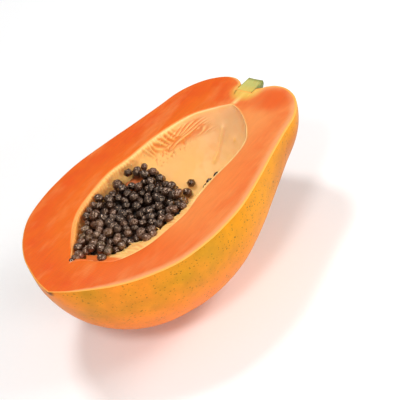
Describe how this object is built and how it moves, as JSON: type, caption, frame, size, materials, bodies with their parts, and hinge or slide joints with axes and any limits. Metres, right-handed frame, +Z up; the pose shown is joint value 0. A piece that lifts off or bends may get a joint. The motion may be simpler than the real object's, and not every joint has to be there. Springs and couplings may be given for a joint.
{
  "type": "papaya half",
  "caption": "Ripe papaya cut in half lengthwise, lying on its belly with the orange cut face, the open seed cavity, a heap of dark seeds and the halved stalk showing.",
  "frame": {"origin": "on the table, under the middle of the part's bounding box", "axes": "+X runs from the blossom tip to the stalk, +Z is up, out of the level cut face"},
  "size_m": [0.213, 0.1398, 0.0765],
  "materials": {
    "rind_and_flesh": "moist orange flesh and lining, satin golden rind",
    "seeds": "wrinkled dark seeds in a clear glossy jelly coat",
    "stalk": "pale green cut stalk with a darker green end"
  },
  "bodies": {
    "root": {"papaya_half": "rind_and_flesh", "seed_heap": "seeds", "stalk_stub": "stalk"}
  },
  "joints": []
}
